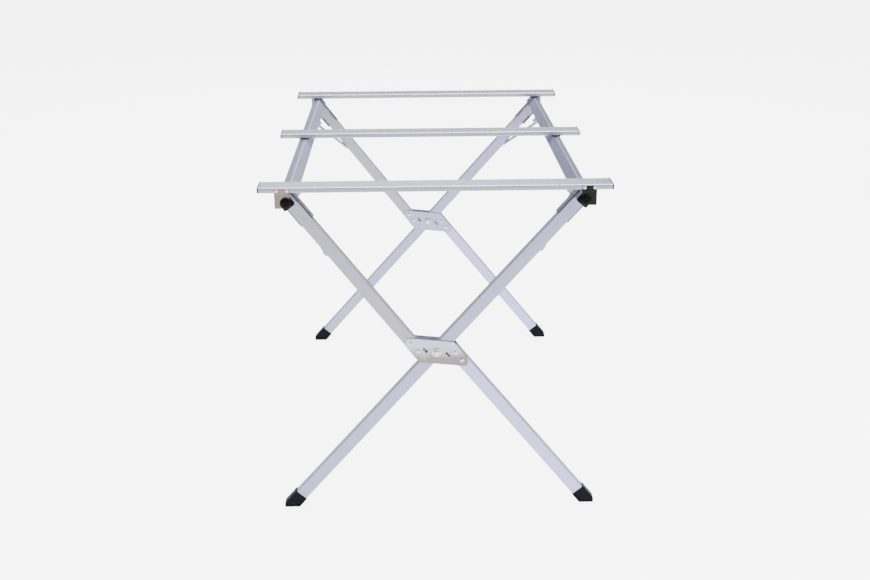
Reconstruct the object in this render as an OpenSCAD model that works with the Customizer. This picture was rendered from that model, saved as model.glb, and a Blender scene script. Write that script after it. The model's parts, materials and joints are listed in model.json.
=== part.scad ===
// Folding table frame: two crossed leg frames, three cross rails, no roll-up top.
// Units are mm. X runs along the rails, Y front (-) to back (+), Z up, floor at z = 0.

/* [Overall] */
// Length of a cross rail with its end caps
rail_len = 680; // [660:1:720]
// Height of the rails' top faces over the floor
table_h = 692; // [670:1:720]
// Depth from the front rail's front face to the rear rail's back face
table_d = 1046; // [900:1:1100]

/* [Rails] */
// Width of a cross rail, front to back
rail_w = 53; // [48:1:56]
// Thickness of a cross rail
rail_h = 10.5; // [10:0.5:12]
// Thickness of the pad between a rail and the tube below it
pad_t = 1.6; // [1.5:0.1:2.5]

/* [Tubes and legs] */
// Width of a leg bar across its front face, and the side of a square side tube
leg_w = 26; // [25:0.5:26.5]
// Distance between the axes of the two side tubes, table open
pin_span = 572; // [560:1:580]
// Height of the scissor pivot over the floor
hub_z = 343; // [335:1:350]
// Distance of the legs' front faces behind the rail's front face
leg_inset = 28.5; // [26:0.5:34]
// Sideways offset of the split arms from the scissor pivot
arm_off = 28; // [27.5:0.1:29]
// Lean of the lower arms from upright, in degrees
lower_lean = 39.2; // [38.4:0.1:40]
// Distance of a brace's leg end below the pin
brace_drop = 132; // [125:1:150]
// Distance of a brace's tube end from the leg
brace_run = 125; // [110:1:150]

/* [Hidden] */
$fn = 48;
leg_d = 18.5;
arm_d = 19.5;
wall = 1.3;
tube_wall = 1.5;
tube_c = 3.5;
cap_t = 2.5;
gap = 0.3;
plate_t = 1.6;
hub_t = 2;
web_t = 2;
pin_r = 4;
slot_r = pin_r + 0.3;
head_r = 11;
boot_t = 1.6;
boot_len = 36;
ridge_r = sqrt(2) * (leg_w / 2 - tube_c) + tube_c;
px = pin_span / 2;
pz = table_h - rail_h - pad_t - gap - ridge_r;
fy = -table_d / 2;
plug_y = fy + 0.4;
tube_y = plug_y + 3;
ly = fy + leg_inset + arm_d / 2;
leg_a = atan2(px, pz - hub_z);
hub_r = norm([px, pz - hub_z]);
arm_a = leg_a - asin(arm_off / hub_r);
arm_s = sqrt(hub_r * hub_r - arm_off * arm_off);
leg_top = leg_w / 2 + 0.5;
leg_len = pz / cos(leg_a);
lower_len = (hub_z + arm_off * sin(lower_lean)) / cos(lower_lean);
chan_end = 60;
web_end = 34;
chan_top = 6;
chan_back = 7;
flange_t = 1.5;
lug_drop = leg_w / 2 + 8;
brace_len = norm([brace_drop - lug_drop, brace_run]);
brace_a = atan2(brace_drop - lug_drop, brace_run);
brace_t = 3.5;
bracket_out = 21.5;
bracket_in = 7;
rivet_s = [25, 46];
rail_z = table_h - rail_h;

// Corner points of a round-cornered rectangle centred on the origin.
function round_pts(w, d, r) = [
  for (q = [0 : 3], k = [0 : 3])
    let (t = q * 90 + k * 30, sx = (q == 0 || q == 3) ? 1 : -1, sy = q < 2 ? 1 : -1)
    [sx * (w / 2 - r) + r * cos(t), sy * (d / 2 - r) + r * sin(t)]
];

module round_rect(w, d, r) {
  polygon(round_pts(w, d, r));
}

// A flat shape drawn in the XZ plane, made solid from y0 to y1.
module slab(y0, y1) {
  translate([0, y1, 0])
    rotate([90, 0, 0])
      linear_extrude(y1 - y0)
        children();
}

// A round bar along Y from y0 to y1.
module bar_y(r, y0, y1) {
  translate([0, y1, 0])
    rotate([90, 0, 0])
      cylinder(r = r, h = y1 - y0);
}

// A round bar along X from x0 to x1.
module bar_x(r, x0, x1) {
  translate([x0, 0, 0])
    rotate([0, 90, 0])
      cylinder(r = r, h = x1 - x0);
}

// The right frame's own axes: pin at the origin, leg down local -Z, inner side local -X.
module in_right() {
  translate([px, 0, pz])
    rotate([0, leg_a, 0])
      children();
}

// The left frame's own axes, the mirror of the right one with the arm's angle.
module in_left() {
  mirror([1, 0, 0])
    translate([px, 0, pz])
      rotate([0, arm_a, 0])
        children();
}

// The left frame's axes at the scissor pivot, for a bar that leans by a.
module at_hub(a) {
  mirror([1, 0, 0])
    translate([0, 0, hub_z])
      rotate([0, a, 0])
        children();
}

// The same thing at the back.
module at_back() {
  mirror([0, 1, 0])
    children();
}

// Square side tube, turned with its legs so that one rounded ridge faces up.
module side_tube() {
  slab(tube_y, -tube_y)
    difference() {
      round_rect(leg_w, leg_w, tube_c);
      round_rect(leg_w - 2 * tube_wall, leg_w - 2 * tube_wall, tube_c - tube_wall);
    }
}

// Hollow bar of leg section along local -Z, from s0 to s1 below the pin.
module leg_bar(d, s0, s1) {
  translate([0, ly, -s1])
    linear_extrude(s1 - s0)
      difference() {
        round_rect(leg_w, d, 2.5);
        round_rect(leg_w - 2 * wall, d - 2 * wall, 1.3);
      }
}

module straight_leg() {
  difference() {
    leg_bar(leg_d, leg_top, leg_len - 16);
    translate([0, 0, -hub_r])
      bar_y(6, ly - leg_d, ly + leg_d);
  }
}

// Plastic bush that lines the straight leg where the scissor bolt goes through.
module bush() {
  translate([0, 0, -hub_r])
    difference() {
      bar_y(6, ly - leg_d / 2, ly + leg_d / 2);
      bar_y(pin_r + 0.06, ly - leg_d, ly + leg_d);
    }
}

// Plug in a side tube's end, bored for the headed pin.
module tube_plug() {
  difference() {
    union() {
      slab(plug_y, tube_y)
        round_rect(leg_w, leg_w, tube_c);
      slab(tube_y - 0.5, tube_y + 18)
        round_rect(leg_w - 2 * tube_wall, leg_w - 2 * tube_wall, tube_c - tube_wall);
    }
    bar_y(pin_r, plug_y - 1, tube_y + 19);
  }
}

// U-shaped sheet bracket whose flanges hold a leg's top end to the side tube.
module channel(d) {
  y0 = ly - d / 2 + 0.6;
  yb = ly + d / 2;
  w = leg_w / 2 + flange_t;
  slab(yb, yb + web_t)
    polygon([[-w, -web_end], [w, -web_end], [w, -leg_top], [-w, -leg_top]]);
  for (x = [-w, leg_w / 2])
    translate([x, 0, 0])
      rotate([90, 0, 90])
        linear_extrude(flange_t)
          polygon([[y0, -chan_end], [yb + 3, -chan_end], [yb + 6, -chan_end + 1.5],
            [yb + chan_back, -chan_end + 4.5], [yb + chan_back, chan_top - 3],
            [yb + chan_back - 3, chan_top], [y0 + 3, chan_top], [y0, chan_top - 3]]);
}

// Headed pin in the tube's end plug; the hook plate sits between head and plug.
module head_pin() {
  y0 = fy - plate_t - gap;
  difference() {
    translate([0, y0, 0])
      rotate([90, 0, 0])
        rotate_extrude()
          polygon([[0, 0], [head_r, 0], [head_r, 2.8], [10, 4.5], [8, 5.6], [0, 6]]);
    bar_y(2.6, y0 - 8, y0 - 4);
  }
  bar_y(pin_r, y0 - 0.5, tube_y + 15);
}

// Flat brace on a leg's outer side, from the leg up to the tube.
module brace() {
  translate([leg_w / 2, ly, -brace_drop])
    rotate([brace_a, 0, 0])
      difference() {
        union() {
          translate([0, 0, -6])
            cube([brace_t, brace_len, 12]);
          bar_x(6, 0, brace_t);
          translate([0, brace_len, 0])
            bar_x(6, 0, brace_t);
        }
        bar_x(2.2, -1, brace_t + 1);
        translate([0, brace_len, 0])
          bar_x(2.2, -1, brace_t + 1);
      }
}

// Lug under the tube that takes the brace's upper end.
module lug() {
  difference() {
    translate([leg_w / 2 - 9, ly + brace_run - 9, -leg_w / 2 - 15])
      cube([9, 18, 15]);
    translate([0, ly + brace_run, -lug_drop])
      bar_x(2.2, 0, leg_w);
  }
}

// Rivet through a brace, from x0 to its outer face, with a head outside.
module brace_rivet(x0) {
  x1 = leg_w / 2 + brace_t;
  bar_x(2.2, x0, x1 + 0.5);
  bar_x(4, x1, x1 + 1);
}

module brace_rivets() {
  for (m = [0, 1])
    mirror([0, m, 0]) {
      translate([0, ly, -brace_drop])
        brace_rivet(leg_w / 2);
      translate([0, ly + brace_run, -lug_drop])
        brace_rivet(leg_w / 2 - 9);
    }
}

// Rubber boot on a bar's lower end, flat on the floor. s: length to the floor, a: lean.
module boot(d, s, a) {
  w = leg_w / 2 + boot_t;
  xt = w / cos(a) - 8;
  sd = (w * cos(a) - xt) / sin(a);
  difference() {
    translate([0, 0, -s])
      rotate([0, -a, 0])
        slab(ly - d / 2 - boot_t, ly + d / 2 + boot_t)
          polygon([[w / cos(a), 0],
            [boot_len * sin(a) + w * cos(a), boot_len * cos(a) - w * sin(a)],
            [boot_len * sin(a) - w * cos(a), boot_len * cos(a) + w * sin(a)],
            [-xt, sd * cos(a) + w * sin(a)], [-xt, 0]]);
    translate([0, ly, -s + 16])
      linear_extrude(40)
        round_rect(leg_w, d, 2.5);
  }
}

// Half of a hub plate's outline; the other half is the same turned half round.
half_hub = [[35.5, 57], [29, 61], [17.5, 51.5], [-arm_off - leg_w / 2, -5],
  [-arm_off - leg_w / 2, -47]];

// Turns the hub's axes from the upper arm's lean to the lower arm's.
module to_lower() {
  rotate([0, lower_lean - arm_a, 0])
    children();
}

module hub_plate(y0) {
  difference() {
    slab(y0, y0 + hub_t)
      difference() {
        polygon(concat(half_hub, [for (p = half_hub) -p]));
        circle(pin_r);
        for (k = [0, 1])
          rotate(180 * k)
            translate([15.3, 17.9])
              rotate(83)
                square([12, 5], center = true);
      }
    hub_rivet_bars(2.2, y0 - 1, y0 + hub_t + 1);
  }
}

// The four rivets' places through a hub, as round bars from y0 to y1.
module hub_rivet_bars(r, y0, y1) {
  for (s = rivet_s) {
    translate([arm_off, 0, s])
      bar_y(r, y0, y1);
    to_lower()
      translate([-arm_off, 0, -s])
        bar_y(r, y0, y1);
  }
}

module upper_arm() {
  difference() {
    leg_bar(arm_d, leg_top, arm_s - 14);
    for (s = rivet_s)
      translate([0, 0, s - arm_s])
        bar_y(2.2, ly - arm_d, ly + arm_d);
  }
}

module lower_arm() {
  translate([-arm_off, 0, 0])
    difference() {
      leg_bar(arm_d, 14, lower_len - 16);
      for (s = rivet_s)
        translate([0, 0, -s])
          bar_y(2.2, ly - arm_d, ly + arm_d);
    }
}

module hub_rivets() {
  y0 = ly - arm_d / 2 - hub_t;
  y1 = ly + arm_d / 2 + hub_t;
  hub_rivet_bars(2.2, y0 - 0.5, y1 + 0.5);
  hub_rivet_bars(4.4, y0 - 1.5, y0);
  hub_rivet_bars(4.4, y1, y1 + 1.5);
}

// Scissor bolt with a domed head outside and a nut inside.
module hub_bolt() {
  y0 = ly - arm_d / 2 - hub_t;
  y1 = ly + arm_d / 2 + hub_t;
  translate([0, y0, 0])
    rotate([90, 0, 0])
      rotate_extrude()
        polygon([[0, 0], [9.3, 0], [9.3, 1.4], [7.6, 2.8], [4.6, 3.8], [0, 4.2]]);
  bar_y(pin_r, y0 - 1, y1 + 7);
  translate([0, y1 + 5, 0])
    rotate([90, 0, 0])
      cylinder(r = 7.5, h = 5, $fn = 6);
}

// Cross rail with its front face at y = y0.
module rail(y0) {
  translate([0, y0 + rail_w / 2, rail_z + rail_h / 2])
    rotate([90, 0, 90])
      linear_extrude(rail_len - 2 * cap_t, center = true)
        difference() {
          round_rect(rail_w, rail_h, 2.2);
          round_rect(rail_w - 3, rail_h - 3, 0.8);
        }
}

// The two end caps of a rail, each with a shank inside it.
module rail_caps(y0) {
  for (m = [0, 1])
    mirror([m, 0, 0])
      translate([rail_len / 2 - cap_t, y0 + rail_w / 2, rail_z + rail_h / 2])
        rotate([90, 0, 90]) {
          linear_extrude(cap_t)
            round_rect(rail_w + 0.8, rail_h + 0.8, 2.6);
          translate([0, 0, -14])
            linear_extrude(14.5)
              round_rect(rail_w - 3, rail_h - 3, 0.8);
        }
}

// Hook plate on the front rail's left end, its slot open towards the middle.
module bracket() {
  x0 = -px - bracket_out;
  x1 = -px + bracket_in;
  slab(fy - plate_t, fy)
    difference() {
      polygon([[x0, pz - 9.5], [x0 + 1.5, pz - 11], [x1 - 3.5, pz - 11], [x1, pz - 7.5],
        [x1, table_h - 2.4], [x1 - 0.8, table_h - 1.6], [x0 + 0.8, table_h - 1.6],
        [x0, table_h - 2.4]]);
      translate([-px, pz])
        circle(slot_r);
      translate([-px, pz - slot_r])
        square([20, 2 * slot_r]);
      for (x = [x0 + 4, x1 - 4.4])
        translate([x, rail_z + rail_h / 2])
          circle(2);
    }
}

module bracket_rivets() {
  for (m = [0, 1], x = [-px - bracket_out + 4, -px + bracket_in - 4.4])
    mirror([m, 0, 0])
      translate([x, 0, rail_z + rail_h / 2]) {
        bar_y(2, fy - plate_t - 0.5, fy);
        bar_y(3.6, fy - plate_t - 1.2, fy - plate_t);
      }
}

// Pads under a rail where the two tubes pass, from y0 to y1.
module rail_pads(y0, y1) {
  for (m = [0, 1])
    mirror([m, 0, 0])
      translate([px - 10, y0, rail_z - pad_t])
        cube([20, y1 - y0, pad_t]);
}

module alu() {
  color([0.8, 0.8, 0.84])
    children();
}

module steel() {
  color([0.72, 0.7, 0.64])
    children();
}

module black() {
  color([0.08, 0.08, 0.1])
    children();
}

module right_tube() { alu() in_right() side_tube(); }
module front_leg() { alu() in_right() straight_leg(); }
module rear_leg() { alu() at_back() in_right() straight_leg(); }
module front_bush() { black() in_right() bush(); }
module rear_bush() { black() at_back() in_right() bush(); }
module right_front_plug() { black() in_right() tube_plug(); }
module right_rear_plug() { black() at_back() in_right() tube_plug(); }
module right_front_channel() { steel() in_right() channel(leg_d); }
module right_rear_channel() { steel() at_back() in_right() channel(leg_d); }
module right_front_pin() { black() in_right() head_pin(); }
module right_rear_pin() { black() at_back() in_right() head_pin(); }
module right_front_brace() { steel() in_right() brace(); }
module right_rear_brace() { steel() at_back() in_right() brace(); }
module right_front_lug() { black() in_right() lug(); }
module right_rear_lug() { black() at_back() in_right() lug(); }
module right_brace_rivets() { steel() in_right() brace_rivets(); }
module front_left_boot() { black() in_right() boot(leg_d, leg_len, leg_a); }
module rear_left_boot() { black() at_back() in_right() boot(leg_d, leg_len, leg_a); }
module left_tube() { alu() in_left() side_tube(); }
module front_upper_arm() { alu() in_left() upper_arm(); }
module rear_upper_arm() { alu() at_back() in_left() upper_arm(); }
module front_lower_arm() { alu() at_hub(lower_lean) lower_arm(); }
module rear_lower_arm() { alu() at_back() at_hub(lower_lean) lower_arm(); }
module plate_out() { steel() at_hub(arm_a) hub_plate(ly - arm_d / 2 - hub_t); }
module plate_in() { steel() at_hub(arm_a) hub_plate(ly + arm_d / 2); }
module front_hub_plate_outer() { plate_out(); }
module front_hub_plate_inner() { plate_in(); }
module rear_hub_plate_outer() { at_back() plate_out(); }
module rear_hub_plate_inner() { at_back() plate_in(); }
module front_hub_rivets() { steel() at_hub(arm_a) hub_rivets(); }
module rear_hub_rivets() { steel() at_back() at_hub(arm_a) hub_rivets(); }
module front_hub_bolt() { steel() at_hub(arm_a) hub_bolt(); }
module rear_hub_bolt() { steel() at_back() at_hub(arm_a) hub_bolt(); }
module left_front_plug() { black() in_left() tube_plug(); }
module left_rear_plug() { black() at_back() in_left() tube_plug(); }
module left_front_channel() { steel() in_left() channel(arm_d); }
module left_rear_channel() { steel() at_back() in_left() channel(arm_d); }
module left_front_pin() { black() in_left() head_pin(); }
module left_rear_pin() { black() at_back() in_left() head_pin(); }
module left_front_brace() { steel() in_left() brace(); }
module left_rear_brace() { steel() at_back() in_left() brace(); }
module left_front_lug() { black() in_left() lug(); }
module left_rear_lug() { black() at_back() in_left() lug(); }
module left_brace_rivets() { steel() in_left() brace_rivets(); }
module right_boot() {
  black()
    at_hub(lower_lean)
      translate([-arm_off, 0, 0])
        boot(arm_d, lower_len, lower_lean);
}
module front_right_boot() { right_boot(); }
module rear_right_boot() { at_back() right_boot(); }
module front_rail() { alu() rail(fy); }
module middle_rail() { alu() rail(-rail_w / 2); }
module rear_rail() { alu() rail(-fy - rail_w); }
module front_rail_caps() { black() rail_caps(fy); }
module middle_rail_caps() { black() rail_caps(-rail_w / 2); }
module rear_rail_caps() { black() rail_caps(-fy - rail_w); }
module front_left_bracket() { steel() bracket(); }
module front_right_bracket() { steel() mirror([1, 0, 0]) bracket(); }
module rear_left_bracket() { steel() at_back() bracket(); }
module rear_right_bracket() { steel() at_back() mirror([1, 0, 0]) bracket(); }
module front_bracket_rivets() { steel() bracket_rivets(); }
module rear_bracket_rivets() { steel() at_back() bracket_rivets(); }
module front_rail_pads() { black() rail_pads(fy + 4, fy + rail_w); }
module middle_rail_pads() { black() rail_pads(-rail_w / 2, rail_w / 2); }
module rear_rail_pads() { black() rail_pads(-fy - rail_w, -fy - 4); }

right_tube();
front_leg();
rear_leg();
front_bush();
rear_bush();
right_front_plug();
right_rear_plug();
right_front_channel();
right_rear_channel();
right_front_pin();
right_rear_pin();
right_front_brace();
right_rear_brace();
right_front_lug();
right_rear_lug();
right_brace_rivets();
front_left_boot();
rear_left_boot();
left_tube();
front_upper_arm();
front_lower_arm();
rear_upper_arm();
rear_lower_arm();
front_hub_plate_outer();
front_hub_plate_inner();
rear_hub_plate_outer();
rear_hub_plate_inner();
front_hub_rivets();
rear_hub_rivets();
front_hub_bolt();
rear_hub_bolt();
left_front_plug();
left_rear_plug();
left_front_channel();
left_rear_channel();
left_front_pin();
left_rear_pin();
left_front_brace();
left_rear_brace();
left_front_lug();
left_rear_lug();
left_brace_rivets();
front_right_boot();
rear_right_boot();
front_rail();
front_rail_caps();
front_left_bracket();
front_right_bracket();
front_bracket_rivets();
front_rail_pads();
middle_rail();
middle_rail_caps();
middle_rail_pads();
rear_rail();
rear_rail_caps();
rear_left_bracket();
rear_right_bracket();
rear_bracket_rivets();
rear_rail_pads();
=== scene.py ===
import json
import logging
import math
from dataclasses import dataclass
from enum import Enum

import bmesh
import bpy
from mathutils import Matrix, Vector


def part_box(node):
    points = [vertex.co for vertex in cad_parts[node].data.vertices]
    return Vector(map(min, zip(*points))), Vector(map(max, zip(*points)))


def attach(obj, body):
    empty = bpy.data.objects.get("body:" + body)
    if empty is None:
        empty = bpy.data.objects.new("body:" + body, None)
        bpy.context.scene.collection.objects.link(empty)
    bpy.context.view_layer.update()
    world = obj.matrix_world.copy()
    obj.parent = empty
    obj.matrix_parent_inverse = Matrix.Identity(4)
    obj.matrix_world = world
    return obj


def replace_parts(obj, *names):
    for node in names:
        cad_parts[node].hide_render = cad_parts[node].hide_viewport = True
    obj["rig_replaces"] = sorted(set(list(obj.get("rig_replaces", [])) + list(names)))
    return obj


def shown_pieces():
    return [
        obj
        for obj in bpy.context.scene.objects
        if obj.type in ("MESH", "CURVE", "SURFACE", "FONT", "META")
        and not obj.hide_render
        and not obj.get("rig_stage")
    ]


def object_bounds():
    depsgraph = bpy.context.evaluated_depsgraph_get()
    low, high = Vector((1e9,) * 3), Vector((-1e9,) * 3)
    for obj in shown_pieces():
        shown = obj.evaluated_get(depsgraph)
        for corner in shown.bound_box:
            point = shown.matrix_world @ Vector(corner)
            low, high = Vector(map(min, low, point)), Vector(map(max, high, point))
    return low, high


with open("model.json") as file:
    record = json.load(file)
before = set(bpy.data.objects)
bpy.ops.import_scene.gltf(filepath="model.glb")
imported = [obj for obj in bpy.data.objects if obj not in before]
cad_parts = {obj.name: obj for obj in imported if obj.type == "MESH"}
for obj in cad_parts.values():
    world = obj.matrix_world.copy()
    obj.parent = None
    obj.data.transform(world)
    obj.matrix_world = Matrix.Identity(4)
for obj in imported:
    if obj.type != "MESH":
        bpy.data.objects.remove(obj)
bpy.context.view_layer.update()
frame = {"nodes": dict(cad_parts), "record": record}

RECORD = frame["record"]
MM = 0.001
LOG = logging.getLogger("table")
SMOOTH_BELOW = math.radians(38)
EASE_ABOVE = math.radians(25)
# Faces whose normal leans past this share along one axis get painted shade.
PAINTED_SHADE_SIDE_ON = 0.6
# Faces whose normal turns this far from the front get painted shade.
PAINTED_SHADE_RIM_ON = 0.5

Pair = tuple[float, float]
Triple = tuple[float, float, float]


class End(Enum):
    """The end of the table that a piece is at."""

    FRONT = "front"
    REAR = "rear"

    def turn(self) -> Matrix:
        """Returns the mirror that carries a front piece to this end."""
        return Matrix() if self is End.FRONT else Matrix.Scale(-1.0, 4, (0, 1, 0))


class Hand(Enum):
    """The side of the table that a piece is on."""

    LEFT = "left"
    RIGHT = "right"

    def turn(self) -> Matrix:
        """Returns the mirror that carries a right-hand piece to this side."""
        return Matrix() if self is Hand.RIGHT else Matrix.Scale(-1.0, 4, (1, 0, 0))


def joint_place(name: str) -> Vector:
    """Gives the place of a joint in the record.

    Args:
        name: The joint's name.

    Returns:
        Its position in metres.
    """
    joints = RECORD["behaviour"]["joints"]
    return Vector(next(j["pos_m"] for j in joints if j["name"] == name))


def body_for(node: str) -> str:
    """Returns the body that a node of the record belongs to."""
    bodies = RECORD["behaviour"]["bodies"]
    return next(body for body, nodes in bodies.items() if node in nodes)


@dataclass(frozen=True)
class Layout:
    """Where the frame's bars lie, in metres and radians.

    Attributes:
        bar: Width of a leg, and side of a side tube.
        leg_d: Depth of a straight leg.
        arm_d: Depth of a split arm.
        arm_off: Sideways offset of the split arms from the scissor pivot.
        lower_lean: Lean of the lower arms.
        pin_r: Radius of the pins and bolts.
    """

    bar: float = 26 * MM
    leg_d: float = 18.5 * MM
    arm_d: float = 19.5 * MM
    arm_off: float = 28 * MM
    lower_lean: float = math.radians(39.2)
    pin_r: float = 4 * MM

    @property
    def hub(self) -> Vector:
        """Returns the scissor pivot's place."""
        return joint_place("x_fold")

    @property
    def pin(self) -> Vector:
        """Returns the right pin's place."""
        return joint_place("front_rail_turn")

    @property
    def leg_y(self) -> float:
        """Returns the middle plane of the front legs."""
        low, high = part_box("front_leg")
        return (low.y + high.y) / 2

    @property
    def leg_lean(self) -> float:
        """Returns the lean of the straight legs."""
        return math.atan2(self.pin.x, self.pin.z - self.hub.z)

    @property
    def hub_r(self) -> float:
        """Returns the distance from a pin to the scissor pivot."""
        return (self.pin - self.hub).length

    @property
    def arm_lean(self) -> float:
        """Returns the lean of the upper arms."""
        return self.leg_lean - math.asin(self.arm_off / self.hub_r)

    @property
    def arm_s(self) -> float:
        """Returns the distance from pin to hub along an upper arm."""
        return math.sqrt(self.hub_r ** 2 - self.arm_off ** 2)

    @property
    def leg_len(self) -> float:
        """Returns the straight legs' length from pin to floor."""
        return self.pin.z / math.cos(self.leg_lean)

    @property
    def lower_len(self) -> float:
        """Returns the lower arms' length from hub to floor."""
        lean = self.lower_lean
        return (self.hub.z + self.arm_off * math.sin(lean)) / math.cos(lean)

    def right(self) -> Matrix:
        """Returns the right frame's axes: pin at the origin, leg down -Z."""
        return Matrix.Translation(self.pin) @ Matrix.Rotation(self.leg_lean, 4, "Y")

    def left(self) -> Matrix:
        """Returns the left frame's axes, with the upper arm down -Z."""
        turn = Matrix.Rotation(self.arm_lean, 4, "Y")
        return Hand.LEFT.turn() @ Matrix.Translation(self.pin) @ turn

    def at_hub(self, lean: float) -> Matrix:
        """Returns the left frame's axes at the pivot, for a bar leaning so."""
        turn = Matrix.Rotation(lean, 4, "Y")
        return Hand.LEFT.turn() @ Matrix.Translation(self.hub) @ turn


LAYOUT = Layout()


class Weave:
    """A material's nodes, with the short calls that the finishes use."""

    def __init__(self, name: str) -> None:
        """Starts a material that holds only its shader and output."""
        self.material = bpy.data.materials.new(name)
        self.material.use_nodes = True
        self.tree = self.material.node_tree
        self.shader = self.tree.nodes["Principled BSDF"]
        self.coords = self.tree.nodes.new("ShaderNodeTexCoord").outputs["Object"]

    def stretched(self, turn: Triple, size: Triple) -> bpy.types.NodeSocket:
        """Gives coordinates turned with a bar and drawn out along it.

        Args:
            turn: The bar's turn about each axis, in radians.
            size: Length of one unit of the pattern along each axis, in metres.

        Returns:
            The mapped coordinates.
        """
        node = self.tree.nodes.new("ShaderNodeMapping")
        node.vector_type = "TEXTURE"
        node.inputs["Rotation"].default_value = turn
        node.inputs["Scale"].default_value = size
        self.tree.links.new(self.coords, node.inputs["Vector"])
        return node.outputs["Vector"]

    def noise(
        self,
        where: bpy.types.NodeSocket,
        scale: float,
        detail: float = 4.0,
        rough: float = 0.55,
    ) -> bpy.types.NodeSocket:
        """Gives a noise pattern on the given coordinates."""
        node = self.tree.nodes.new("ShaderNodeTexNoise")
        node.inputs["Scale"].default_value = scale
        node.inputs["Detail"].default_value = detail
        node.inputs["Roughness"].default_value = rough
        self.tree.links.new(where, node.inputs["Vector"])
        return node.outputs["Fac"]

    def painted_reflection_rise(
        self, fac: bpy.types.NodeSocket, low: float, high: float
    ) -> bpy.types.NodeSocket:
        """Gives a painted reflection: a pattern that grows from one height to another, dark below
        and light above.

        Args:
            fac: A pattern that breaks up the change.
            low: The height where it starts, in metres.
            high: The height where it ends.

        Returns:
            The pattern.
        """
        split = self.tree.nodes.new("ShaderNodeSeparateXYZ")
        self.tree.links.new(self.coords, split.inputs["Vector"])
        span = self.tree.nodes.new("ShaderNodeMapRange")
        span.inputs["From Min"].default_value = low
        span.inputs["From Max"].default_value = high
        self.tree.links.new(split.outputs["Z"], span.inputs["Value"])
        mean = self.tree.nodes.new("ShaderNodeMath")
        mean.operation = "MULTIPLY_ADD"
        mean.inputs[1].default_value = 0.5
        self.tree.links.new(fac, mean.inputs[0])
        half = self.tree.nodes.new("ShaderNodeMath")
        half.operation = "MULTIPLY_ADD"
        half.inputs[1].default_value = 0.7
        half.inputs[2].default_value = -0.1
        self.tree.links.new(span.outputs["Result"], half.inputs[0])
        self.tree.links.new(half.outputs["Value"], mean.inputs[2])
        return mean.outputs["Value"]

    def tones(
        self, fac: bpy.types.NodeSocket, low: Triple, high: Triple, span: Pair = (0.3, 0.7)
    ) -> None:
        """Colours the surface between two tones by a pattern."""
        node = self.tree.nodes.new("ShaderNodeValToRGB")
        ends = node.color_ramp.elements
        ends[0].position, ends[1].position = span
        ends[0].color = (*low, 1.0)
        ends[1].color = (*high, 1.0)
        self.tree.links.new(fac, node.inputs["Fac"])
        self.tree.links.new(node.outputs["Color"], self.shader.inputs["Base Color"])

    def sheen_range(self, fac: bpy.types.NodeSocket, low: float, high: float) -> None:
        """Varies the roughness between two values by a pattern."""
        node = self.tree.nodes.new("ShaderNodeMapRange")
        node.inputs["From Min"].default_value = 0.3
        node.inputs["From Max"].default_value = 0.7
        node.inputs["To Min"].default_value = low
        node.inputs["To Max"].default_value = high
        self.tree.links.new(fac, node.inputs["Value"])
        self.tree.links.new(node.outputs["Result"], self.shader.inputs["Roughness"])

    def relief(self, fac: bpy.types.NodeSocket, strength: float, depth: float) -> None:
        """Raises the surface by a pattern, to a depth in metres."""
        node = self.tree.nodes.new("ShaderNodeBump")
        node.inputs["Strength"].default_value = strength
        node.inputs["Distance"].default_value = depth
        self.tree.links.new(fac, node.inputs["Height"])
        self.tree.links.new(node.outputs["Normal"], self.shader.inputs["Normal"])


def shade(colour: Triple, amount: float) -> Triple:
    """Returns a colour made lighter or darker by a factor."""
    return tuple(min(1.0, c * amount) for c in colour)


class Along(Enum):
    """The direction in which a drawn bar's fine lines run."""

    RAIL = "rail"
    TUBE = "tube"
    LEG = "leg"

    def size(self) -> Triple:
        """Returns one unit of the drawn pattern along each axis."""
        fine, long = 1.4 * MM, 0.35
        return {
            Along.RAIL: (long, fine, fine),
            Along.TUBE: (fine, long, fine),
            Along.LEG: (fine, fine, long),
        }[self]


@dataclass(frozen=True)
class DrawnAluminium:
    """Satin anodised aluminium with fine lines along the bar.

    Attributes:
        name: The material's name.
        colour: Its base colour.
        along: The direction of its lines.
        lean: The bar's turn about Y, in radians.
        rough: Its middle roughness.
        metallic: How metallic it is.
        fine: How strongly its lines show.
    """

    name: str
    colour: Triple
    along: Along
    lean: float = 0.0
    rough: float = 0.4
    metallic: float = 0.55
    fine: float = 1.0

    def build(self) -> bpy.types.Material:
        """Returns the finished material."""
        weave = Weave(self.name)
        lines = weave.noise(weave.stretched((0, self.lean, 0), self.along.size()), 1.0)
        haze = weave.noise(weave.coords, 38.0, 3.0)
        weave.shader.inputs["Metallic"].default_value = self.metallic
        weave.shader.inputs["Specular IOR Level"].default_value = 0.45
        spread = 0.04 * self.fine
        weave.tones(lines, shade(self.colour, 1 - spread), shade(self.colour, 1 + spread))
        weave.sheen_range(haze, self.rough - 0.05 * self.fine, self.rough + 0.06 * self.fine)
        weave.relief(lines, 0.12 * self.fine, 0.05 * MM)
        return weave.material


@dataclass(frozen=True)
class PlatedSteel:
    """Zinc-plated sheet steel with a faint cloudy bloom.

    Attributes:
        name: The material's name.
        low: Its darker tone.
        high: Its lighter tone.
        rough: Its middle roughness.
        metallic: How metallic it is.
        cloud: How many clouds of tone it has in a metre.
        hub: Whether a painted reflection makes its tone rise from dark to light over a hub plate's
            height.
    """

    name: str
    low: Triple
    high: Triple
    rough: float = 0.34
    metallic: float = 0.75
    cloud: float = 55.0
    hub: bool = False

    def build(self) -> bpy.types.Material:
        """Returns the finished material."""
        weave = Weave(self.name)
        cloud = weave.noise(weave.coords, self.cloud, 4.0, 0.5)
        # Painted reflection: the tone grows from dark below to light above over the hub plate.
        if self.hub:
            level = LAYOUT.hub.z
            cloud = weave.painted_reflection_rise(cloud, level - 22 * MM, level + 20 * MM)
        grain = weave.noise(weave.coords, 900.0, 2.0)
        weave.shader.inputs["Metallic"].default_value = self.metallic
        weave.tones(cloud, self.low, self.high)
        weave.sheen_range(cloud, self.rough - 0.07, self.rough + 0.09)
        weave.relief(grain, 0.1, 0.05 * MM)
        return weave.material


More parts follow.
